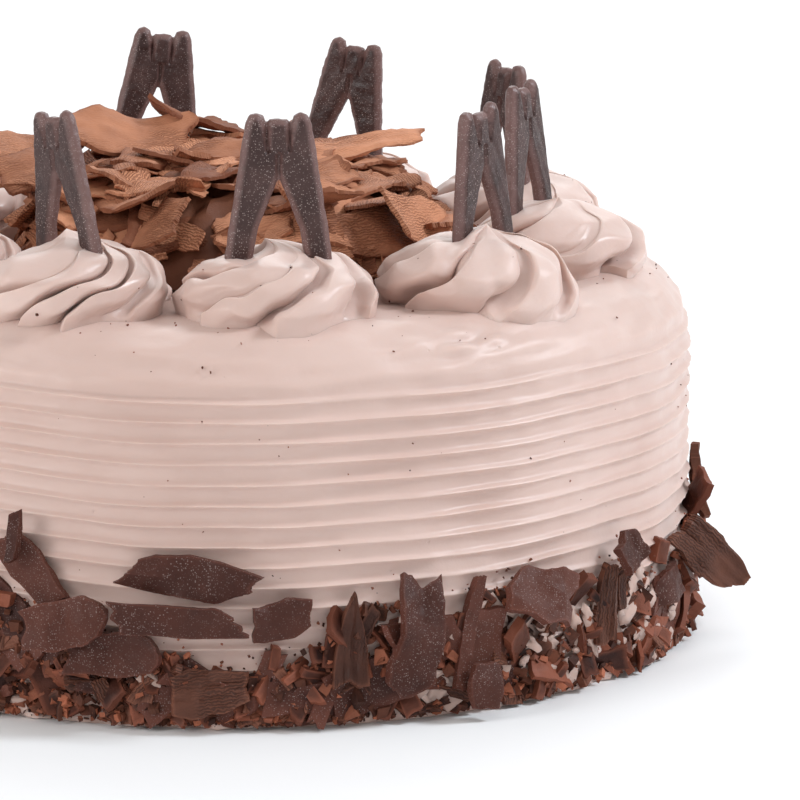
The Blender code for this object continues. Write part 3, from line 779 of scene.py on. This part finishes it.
def broken_sheet(rng, length, width, cells, shares, grow, taper, ragged):
    """Length, width and warp at each point of a flake, by the same draws as the solid's."""
    draw = rng.uniform
    rows, columns = cells
    along_share, across_share = shares
    s, t = along_share[:, 0], across_share[0]
    ends = draw(-0.1, 0.1, columns + 1)
    sides = draw(0.78, 1.06, (rows + 1, 2)) * np.linspace(1, 1 - taper, rows + 1)[:, None]
    sides[0] *= draw(0.6, 1.0)
    sides[-1] *= draw(0.6, 1.0)
    warp = draw(-0.12, 0.12, (rows + 1, columns + 1))
    end_line = np.interp(t, np.linspace(0, 1, columns + 1), ends)
    end_shift = [end_line + ragged * jagged(rng, len(t)) for _ in range(2)]
    near_start = held(1 - rows * along_share)
    near_end = held(1 - rows * (1 - along_share))
    along = (along_share - 0.5) * (length + 2 * grow)
    along = along + (near_start * end_shift[0] + near_end * end_shift[1]) * length
    notches = np.stack([jagged(rng, len(s), 7), jagged(rng, len(s), 7)], 1)
    side = table_at(sides, s) * (1 + ragged * (notches - 0.6) * 1.6)
    side = np.where(across_share < 0.5, side[:, :1], side[:, 1:])
    across = (across_share - 0.5) * (width * side + 2 * grow)
    return along, across, table_at(table_at(warp, s).T, t).T * width


def flake(seed, length, width, thickness, curl, cells, grid, grow=0.0, taper=0.0, ragged=0.0,
          relief=0.0, grooves=0.0, thin=1.0):
    """A flake on a fine grid. Returns vertices, faces, flat map and which vertices are on the rim."""
    shares = np.meshgrid(*(np.linspace(0, 1, count + 1) for count in grid), indexing="ij")
    rng = default_rng(seed)
    along, across, rise = broken_sheet(rng, length, width, cells, shares, grow, taper, ragged)
    angle = curl * along / length
    bend = length / curl if abs(curl) > 0.02 else None
    x = bend * np.sin(angle) if bend else along
    z = (bend * (1 - np.cos(angle)) if bend else 0.0) + rise
    from_end, from_side = (np.minimum(share, 1 - share) for share in shares)
    margin = np.minimum(from_end * length, from_side * width)
    half = (thickness / 2 + grow) * (thin + (1 - thin) * held(margin / (1.6 * MM)))
    layers = []
    for facing in (-1, 1):
        flat = np.stack([x, across, z * 0 + facing * 0.01], -1)
        lift = facing * half
        if relief:
            fine = ripples(seed + 5 + facing, flat, 3.5 * MM)
            lift = lift + relief * (fine + ripples(seed, flat, 9 * MM))
        if grooves:
            stripes = ripples(seed + 9, flat * (0.08, 1, 1), 1.7 * MM, 16)
            lift = lift + facing * grooves * (stripes - 0.5)
        layer = np.stack([x - lift * np.sin(angle), across, z + lift * np.cos(angle)], -1)
        layers.append(layer.reshape(-1, 3))
    flat = np.stack([along, across], -1).reshape(-1, 2)
    near = (margin < 0.01 * MM).astype(float).reshape(-1)
    faces = slab_faces(grid[0] + 1, grid[1] + 1)
    return np.concatenate(layers), faces, np.concatenate([flat, flat]), np.concatenate([near, near])


def placed(frame, vertices):
    matrix = np.array(frame)
    return vertices @ matrix[:3, :3].T + matrix[:3, 3]


def own_tone(seed, low=0.0, high=1.0):
    return default_rng(TONE_SEED + seed).uniform(low, high)


def side_frame(azimuth, z, radius, roll, lean, turn):
    """Places a flake on the side: length along the side, thickness outwards."""
    outward = polar(1.0, azimuth)
    tangent = Vector((-outward.y, outward.x, 0.0))
    basis = Matrix((tangent, Vector((0, 0, 1)), outward)).transposed().to_4x4()
    spin = Euler([radians(angle) for angle in (-lean, turn, roll)], "ZXY").to_matrix().to_4x4()
    return Matrix.Translation(polar(radius, azimuth, z)) @ basis @ spin


def around_shards(rng):
    """Shards for the sides and back, by the same draws as the solids."""
    draw = rng.uniform
    specs = []
    for k in range(AROUND_COUNT):
        share = (k + draw(0.2, 0.8)) / AROUND_COUNT
        azimuth = AROUND_FROM + (AROUND_TO - AROUND_FROM) * share
        upright = rng.random() < 0.4
        length, width = draw(16, 30), draw(8, 14)
        roll = draw(65, 110) if upright else draw(-28, 28)
        height = length / 2 + draw(1, 9) if upright else draw(10, 34)
        specs.append((azimuth, height, length, width, roll, draw(4, 16), draw(-10, 10),
                      rng.choice((-0.9, 0.2, 0.4, 0.7)), 0.5 if upright else 0.0))
    return specs


def build_shards(dark, striped):
    """Each large shard, set where its solid stands."""
    specs = list(FRONT_SHARDS) + around_shards(default_rng(AROUND_SEED))
    for number, spec in enumerate(specs):
        azimuth, z, length, width, roll, lean, turn, curl, taper = spec
        node_name = f"base_shard_{number + 1:02d}"
        cells = (4, 2) if length * width > 200 else (3, 1)
        size = (length * MM, width * MM, SHARD_THICKNESS, curl, cells)
        frame = side_frame(azimuth, z * MM, CAKE_RADIUS, roll, lean, turn)
        coarse = placed(frame, flake(SHARD_SEED + number, *size, cells, taper=taper)[0])
        low, high = (np.array(corner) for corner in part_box(node_name))
        shift = (low + high) / 2 - (coarse.min(0) + coarse.max(0)) / 2
        is_striped = number + 1 in STRIPED_SHARDS or number > len(FRONT_SHARDS) and number % 4 == 0
        look = {"grooves": 0.22 * MM, "relief": 0.1 * MM} if is_striped else {"relief": 0.14 * MM}
        look.update(taper=taper, ragged=0.05, thin=0.85)
        vertices, faces, flat, near = flake(SHARD_SEED + number, *size, LARGE_GRID, **look)
        pile = Pile()
        vertices = np.clip(placed(frame, vertices) + shift, low, high)
        pile.add(vertices, faces, own_tone(number, 0.1, 0.7) + 0.4 * near, flat)
        piece = pile.make(f"broken_{node_name}", striped if is_striped else dark, 42)
        add_piece(piece, "shard_chocolate", node_name)


def tree_of(piece):
    vertices = [piece.matrix_world @ v.co for v in piece.data.vertices]
    return BVHTree.FromPolygons(vertices, [tuple(p.vertices) for p in piece.data.polygons])


def touches(vertices, faces, trees):
    tree = BVHTree.FromPolygons([Vector(v) for v in vertices], faces.tolist())
    return any(tree.overlap(other) for other in trees)


def clear_lift(seed, shape, frame, floor, trees):
    """How far a flake rises to lie over a floor, or None where it would meet a neighbour."""
    grown, faces, _, _ = flake(seed, *shape, shape[-1], grow=GAP)
    grown = placed(frame, grown)
    lift = max(0.0, floor - grown[:, 2].min())
    return None if touches(grown + (0, 0, lift), faces, trees) else lift


def build_chips(trees, material):
    """The chips at the base that the solid has fused on."""
    draw = default_rng(CHIP_RING_SEED).uniform
    low, high = CHIP_BAND
    pile = Pile()
    for k in range(CHIP_COUNT):
        azimuth = 360 * (k + draw(-0.3, 0.3)) / CHIP_COUNT
        z = low + (high - low) * ((k * 0.618) % 1.0) ** 1.6
        length = draw(*CHIP_LENGTH)
        width = length * draw(0.5, 0.85)
        thickness = draw(*CHIP_THICKNESS)
        curl = draw(-0.4, 0.4)
        turns = draw((-90, -35, -40), (90, 45, 40))
        frame = side_frame(azimuth, z, CAKE_RADIUS + 0.3 * MM, *turns)
        for shrink in CHIP_SHRINKS:
            shape = (length * shrink, width * shrink, thickness, curl, (1, 1))
            lift = clear_lift(CHIP_SEED + k, shape, frame, LOWEST, trees)
            if lift is None:
                continue
            look = {"ragged": 0.05, "relief": 0.16 * MM, "thin": 0.8}
            vertices, faces, flat, near = flake(CHIP_SEED + k, *shape, CHIP_GRID, **look)
            tone = own_tone(CHIP_SEED + k) + 0.4 * near
            pile.add(placed(frame, vertices) + (0, 0, lift), faces, tone, flat)
            break
    return pile.make("base_chips", material, 42)


def cover_reach(azimuth):
    """How high chips and crumbs reach: uneven, with a gap near the front."""
    ring = polar_points(CAKE_RADIUS + 0 * azimuth, azimuth, 0.0)
    gap = np.exp(-(((azimuth - radians(4)) / radians(10)) ** 2))
    return 25 * MM + 5 * MM * ripples(44, ring, 40 * MM) - 12 * MM * gap


def shows_cream(azimuth, height):
    """Where cream shows through the cover, in patches at the right of the front."""
    points = polar_points(CAKE_RADIUS + 0 * azimuth, azimuth, height)
    right = np.exp(-(((azimuth - radians(48)) / radians(28)) ** 2))
    return ripples(45, points, 9 * MM) > 1.5 - 1.0 * right


def scatter_flakes(name, seed, count, lengths, material, grooves, turning):
    """Many small broken flakes pressed into the lower side, densest low down."""
    rng = default_rng(seed)
    draw = rng.uniform
    pile = Pile()
    azimuths = any_azimuths(rng, count)
    reaches = cover_reach(azimuths)
    look = {"ragged": 0.05, "relief": 0.1 * MM, "thin": 0.8, "grooves": grooves}
    for k in range(count):
        length = draw(*lengths) * MM
        z = max(length * 0.3 + 1 * MM, reaches[k] * draw(0, 1) ** 1.1)
        if shows_cream(azimuths[k:k + 1], z)[0]:
            continue
        width = length * draw(0.3, 0.85)
        shape = (length, width, draw(1.0, 2.3) * MM, draw(-0.8, 0.8), (1, 1))
        turns = draw((-90, -20 * turning, -40 * turning), (90, 40 * turning, 40 * turning))
        azimuth = degrees(azimuths[k])
        frame = side_frame(azimuth, z, CAKE_RADIUS + draw(-0.6, 1.8) * MM, *turns)
        vertices, faces, flat, near = flake(seed * 1000 + k, *shape, LOOSE_GRID, **look)
        vertices = placed(frame, vertices)
        vertices = vertices + (0, 0, max(0.0, LOWEST - vertices[:, 2].min()))
        beyond = max(0.0, np.hypot(vertices[:, 0], vertices[:, 1]).max() - OUTERMOST)
        vertices = vertices - np.array(polar(beyond, azimuth))
        pile.add(vertices, faces, draw(0, 1) ** 2 + 0.45 * near, flat)
    return pile.make(name, material, 40)


def heap_rise(x, y):
    """Height of the heap's core over the top of the cake."""
    share = np.minimum(1.0, np.hypot(x, y) / HEAP_RADIUS)
    return (HEAP_RISE - HEAP_SLOPE * x / HEAP_RADIUS) * (1 - share**HEAP_FLATNESS) + 2 * MM


def heap_spot(radius, azimuth, above):
    """A spot over the core, in mm."""
    spot = polar(radius * MM, azimuth)
    return spot.x / MM, spot.y / MM, (TOP_Z + heap_rise(spot.x, spot.y)) / MM + above


def heap_specs():
    """The solid's shavings: placed ones, an apron round the edge and loose ones."""
    specs = list(HEAP_FEATURES)
    draw = default_rng(APRON_SEED).uniform
    for k in range(HEAP_APRON_COUNT):
        azimuth = 360 * k / HEAP_APRON_COUNT + draw(-9, 9)
        spot = polar(draw(47, 51), azimuth, TOP_Z / MM + draw(10, 14))
        specs.append((*spot, azimuth + draw(-20, 20), draw(-16, 16), draw(34, 58),
                      draw(20, 32), draw(13, 20), draw(-0.6, 0.5)))
    draw = default_rng(LOOSE_SEED).uniform
    for k in range(HEAP_LOOSE_COUNT):
        radius = 50 * sqrt((k + 0.5) / HEAP_LOOSE_COUNT)
        spot = heap_spot(radius, 137.5 * k, draw(-1, 2))
        specs.append((*spot, draw(-180, 180), draw(-24, 24),
                      draw(-24, 24), draw(17, 34), draw(10, 20),
                      draw(-0.7, 1.1)))
    return specs


def more_shavings(rng, count, ring, lengths, sink, tilt):
    """Shavings within a ring of the heap, lying on the core or leaning on its edge."""
    draw = rng.uniform
    specs = []
    for _ in range(count):
        radius = sqrt(draw(ring[0] ** 2, ring[1] ** 2))
        azimuth = draw(0, 360)
        spot = heap_spot(radius, azimuth, draw(*sink))
        length = draw(*lengths)
        steep = held((radius - 40) / 9)
        heading = azimuth + draw(-30, 30) if steep > 0.3 else draw(-180, 180)
        specs.append((*spot, heading, draw(-tilt, tilt),
                      42 * steep + draw(-tilt, tilt), length, length * draw(0.5, 0.9),
                      draw(-0.6, 0.8)))
    return specs


def add_shaving(pile, seed, spec, trees, grid, thickness=None):
    """Adds one shaving where it clears its neighbours, shortened where it must be."""
    x, y, z, heading, tilt, roll, length, width, curl = spec
    turn = Euler([radians(a) for a in (roll, tilt, heading)]).to_matrix().to_4x4()
    thickness = thickness or default_rng(seed).uniform(1.3, 2.0) * MM
    for shrink in SHAVING_SHRINKS:
        shape = (length * shrink * MM, width * shrink * MM, thickness, curl, (3, 1))
        frame = Matrix.Translation((x * shrink * MM, y * shrink * MM, z * MM)) @ turn
        lift = clear_lift(seed, shape, frame, TOP_Z + 2 * GAP, trees)
        if lift is None:
            continue
        look = {"ragged": 0.06, "relief": 0.12 * MM, "thin": 0.6}
        vertices, faces, flat, near = flake(seed, *shape, grid, **look)
        tone = own_tone(seed, 0.3, 1.0) if seed % DARK_SHAVING_EVERY else 0.0
        # Rims darker: painted shade along the edges of each shaving
        pile.add(placed(frame, vertices) + (0, 0, lift), faces, tone - 0.3 * near, flat)
        return


def covers_open_shaving(spec):
    """True for a shaving that would lie over the middle of one that is seen whole."""
    spots = [Vector(feature[:2]) for feature in HEAP_FEATURES[:OPEN_SHAVINGS]]
    return any((Vector(spec[:2]) - spot).length < 13 for spot in spots)


def build_heap(trees, material, core_with_painted_shade):
    """The heap: a core, the large shavings of the solid and many smaller ones between them."""
    pile = Pile()
    for number, spec in enumerate(heap_specs()):
        add_shaving(pile, SHAVING_SEED + number, spec, trees, LARGE_GRID)
    rng = default_rng(SMALLER_SEED)
    for seed, grid, thicknesses, keeps_off, rings in SMALLER_SHAVINGS:
        specs = [spec for ring in rings for spec in more_shavings(rng, *ring)]
        for number, spec in enumerate(specs):
            thickness = rng.uniform(*thicknesses) * MM
            if not (keeps_off and covers_open_shaving(spec)):
                add_shaving(pile, seed + number, spec, trees, grid, thickness)
    add_piece(pile.make("shavings", material, 42), "shaving_chocolate", "shavings_heap")
    add_piece(build_heap_core(core_with_painted_shade), "shaving_chocolate")


# The core shows in the gaps between shavings; its dark chocolate there is painted shade
def build_heap_core(material):
    radius = np.linspace(1, 0.02, 40)[:, None] * HEAP_RADIUS * 0.98
    points = turned_points(radius, 0.0, 120)
    rise = heap_rise(points[..., 0], points[..., 1])
    crust = 1.2 * MM * ripples(15, points, 9 * MM)
    points[..., 2] = TOP_Z + GAP + np.maximum(0.2 * MM, rise - 3.0 * MM + crust)
    points[0, :, 2] = TOP_Z + GAP
    mesh = closed_grid("heap_core", points)
    set_tone(mesh, np.zeros(points.size // 3))
    return finish_mesh("heap_core", mesh, material, 40)


# Crumbs


def crumbs(pile, rng, middles, sizes, tones):
    """Adds broken bits: bent boxes of uneven corners, one for each middle."""
    count = len(middles)
    corners = np.array([(x, y, z) for x in (-1, 1) for y in (-1, 1) for z in (-1, 1)], float)
    quads = np.array([(0, 1, 3, 2), (4, 6, 7, 5), (0, 4, 5, 1), (2, 3, 7, 6), (0, 2, 6, 4), (1, 5, 7, 3)])
    shape = corners[None] * rng.uniform(0.35, 1.0, (count, 8, 3)) * rng.uniform(0.25, 1.0, (count, 1, 3))
    spin = rng.normal(size=(count, 4))
    spin /= np.linalg.norm(spin, axis=1)[:, None]
    w, x, y, z = spin.T
    turn = np.stack([
        np.stack([1 - 2 * (y * y + z * z), 2 * (x * y - z * w), 2 * (x * z + y * w)], -1),
        np.stack([2 * (x * y + z * w), 1 - 2 * (x * x + z * z), 2 * (y * z - x * w)], -1),
        np.stack([2 * (x * z - y * w), 2 * (y * z + x * w), 1 - 2 * (x * x + y * y)], -1),
    ], 1)
    vertices = np.einsum("nij,nkj->nki", turn, shape * (sizes / 2)[:, None, None]) + middles[:, None, :]
    faces = quads[None] + 8 * np.arange(count)[:, None, None]
    pile.add(vertices.reshape(-1, 3), faces.reshape(-1, 4), np.repeat(tones, 8))


def build_base_crumbs(material):
    """Crumbs pressed into the lower side, dense at the foot and thinner higher up."""
    rng = default_rng(BASE_CRUMB_SEED)
    draw = rng.uniform
    pile = Pile()
    for count, smallest, largest, more_reach in BASE_CRUMBS:
        azimuth = any_azimuths(rng, count)
        height = (cover_reach(azimuth) + more_reach * MM) * draw(0, 1, count) ** 1.3
        size = draw(smallest, largest, count) * MM
        out = CAKE_RADIUS + draw(-0.6, 0.9, count) * MM + 0.15 * size
        height = np.maximum(height, LOWEST + 0.55 * size)
        tones = 1.2 * draw(0, 1, count) ** 2
        kept = ~shows_cream(azimuth, height) | (draw(0, 1, count) < 0.4)
        crumbs(pile, rng, polar_points(out, azimuth, height)[kept], size[kept], tones[kept])
    return pile.make("base_crumbs", material)


def sprinkle(pile, rng, spots, sizes, lightest=0.6):
    """Adds a crumb at each spot, of sizes in mm and tones up to a lightest one."""
    count = len(spots)
    crumbs(pile, rng, spots, rng.uniform(*sizes, count) * MM, rng.uniform(0, lightest, count))


def build_top_crumbs(surfaces, material):
    """Tiny dark crumbs fallen on the rosettes, the shoulder, the ridges and the foot of the heap."""
    rng = default_rng(TOP_CRUMB_SEED)
    pile = Pile()
    on_rosettes, on_shoulder, on_side, by_heap = TOP_CRUMBS
    spots = surfaces[rng.integers(0, len(surfaces), on_rosettes)]
    sprinkle(pile, rng, spots, (0.4, 1.0))
    radius = rng.uniform(88, 113, on_shoulder) * MM
    spots = polar_points(radius, any_azimuths(rng, on_shoulder), top_height(radius))
    sprinkle(pile, rng, spots, (0.35, 0.95))
    radius = np.full(on_side, CAKE_RADIUS - 0.6 * MM)
    spots = polar_points(radius, any_azimuths(rng, on_side), rng.uniform(28, 74, on_side) * MM)
    sprinkle(pile, rng, spots, (0.35, 0.8))
    radius = rng.uniform(50, 66, by_heap) * MM
    spots = polar_points(radius, any_azimuths(rng, by_heap), TOP_Z + 0.5 * MM)
    sprinkle(pile, rng, spots, (0.8, 3.0), 1)
    return pile.make("top_crumbs", material)


def build_cream_bits(material):
    """Soft dabs of cream between the crumbs at the base, most of them at the right, in a darker cream
    that is painted shade.
    """
    draw = default_rng(DAB_SEED).uniform
    ball = bmesh.new()
    bmesh.ops.create_icosphere(ball, subdivisions=2, radius=1.0)
    ball_points = np.array([v.co for v in ball.verts])
    faces = np.array([[v.index for v in f.verts] for f in ball.faces])
    ball.free()
    pile = Pile()
    for k in range(DAB_COUNT):
        azimuth = draw(20, 88) if k % 3 else draw(-180, 180)
        size = draw(0.9, 2.6) * MM
        height = max(cover_reach(np.radians(azimuth)) * draw(0.1, 1.0), 2.0 * size + LOWEST)
        shape = ball_points * (1 + 0.4 * ripples(k, ball_points, 1.6))[:, None] * (1.5, 0.85, 0.45)
        radius = CAKE_RADIUS + draw(0.2, 1.6) * MM
        frame = side_frame(azimuth, height, radius, draw(-60, 60), 0, 0)
        pile.add(placed(frame, shape * size), faces, 0.5)
    return pile.make("cream_bits", material, 80)


# Camera and stage


def build_camera():
    """A camera that sees the cake's axis left of the middle and a little below it."""
    tilt = radians(CAMERA_ELEVATION)
    eye = Vector((0, -CAMERA_DISTANCE * cos(tilt), AIM_HEIGHT + CAMERA_DISTANCE * sin(tilt)))
    up = Vector((0, sin(tilt), cos(tilt)))
    per_pixel = CAMERA_DISTANCE / LENS_PIXELS
    aim = Vector((0, 0, AIM_HEIGHT)) + Vector((1, 0, 0)) * (PICTURE / 2 - AXIS_PIXEL[0]) * per_pixel
    aim += up * (AXIS_PIXEL[1] - PICTURE / 2) * per_pixel
    data = bpy.data.cameras.new("camera")
    data.sensor_width = SENSOR
    data.lens = LENS_PIXELS * SENSOR / PICTURE
    data.clip_end = 20
    camera = new_object("camera", data)
    camera.location = eye
    camera.rotation_euler = (aim - eye).to_track_quat("-Z", "Y").to_euler()
    bpy.context.scene.camera = camera


def add_light(name, place, size, power, colour):
    data = bpy.data.lights.new(name, "AREA")
    data.shape = "DISK"
    data.size = size
    data.energy = power
    data.color = colour
    light = new_object(name, data)
    light.location = place
    light.rotation_euler = (Vector(LIT_SPOT) - Vector(place)).to_track_quat("-Z", "Y").to_euler()


def build_stage():
    """A pale floor, a white surround that dims overhead, and soft light from the right and above."""
    bpy.ops.mesh.primitive_circle_add(vertices=96, radius=FLOOR_RADIUS, fill_type="NGON")
    floor = bpy.context.object
    floor.name = "floor"
    floor.data.materials.append(plain_material("floor", (0.9, 0.9, 0.9), 0.7))
    world = bpy.data.worlds.new("surround")
    bpy.context.scene.world = world
    world.use_nodes = True
    tree = world.node_tree
    where = node(tree, "TexCoord").outputs["Generated"]
    height = node(tree, "SeparateXYZ", Vector=where).outputs["Z"]
    strength = ramp(tree, height, 0.1, 0.5, 1.0, 0.5)
    feed(tree, tree.nodes["Background"], Color=(1.0, 1.0, 1.0, 1), Strength=strength)
    for light in LIGHTS:
        add_light(*light)
    bpy.context.scene.view_settings.view_transform = "Standard"
    bpy.context.scene.view_settings.look = "None"


def trees_of(nodes, *starts):
    """Search trees of the solids whose names start in one of these ways."""
    return [tree_of(solid) for name, solid in sorted(nodes.items()) if name.startswith(starts)]


def main():
    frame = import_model()
    nodes = frame["nodes"]
    build_camera()
    build_stage()
    cream = {kind: cream_material(f"{kind}_cream", *look) for kind, look in CREAMS.items()}
    chocolate = {kind: chocolate_material(f"{kind}_chocolate", dark, light, **special)
                 for kind, (dark, light, special) in CHOCOLATES.items()}
    shard_trees = trees_of(nodes, "base_shard")
    top_trees = trees_of(nodes, "cream_rosette", "chocolate_ornament")
    build_shards(chocolate["dark"], chocolate["striped"])
    add_piece(build_icing(cream["side"]), "side_cream", "cake_body")
    add_piece(build_chips(shard_trees, chocolate["chip"]), "shard_chocolate", "cake_body")
    for name, seed, count, lengths, kind, grooves, turning in LOOSE_FLAKES:
        flakes = scatter_flakes(name, seed, count, lengths, chocolate[kind], grooves, turning)
        add_piece(flakes, "shard_chocolate")
    add_piece(build_base_crumbs(chocolate["crumb"]), "shard_chocolate")
    surfaces = build_rosettes(cream["piped"])
    build_ornaments(chocolate["moulded"])
    build_heap(top_trees, chocolate["milk"], chocolate["core"])
    add_piece(build_top_crumbs(surfaces, chocolate["crumb"]), "shaving_chocolate")
    add_piece(build_cream_bits(cream["base"]), "side_cream")


main()
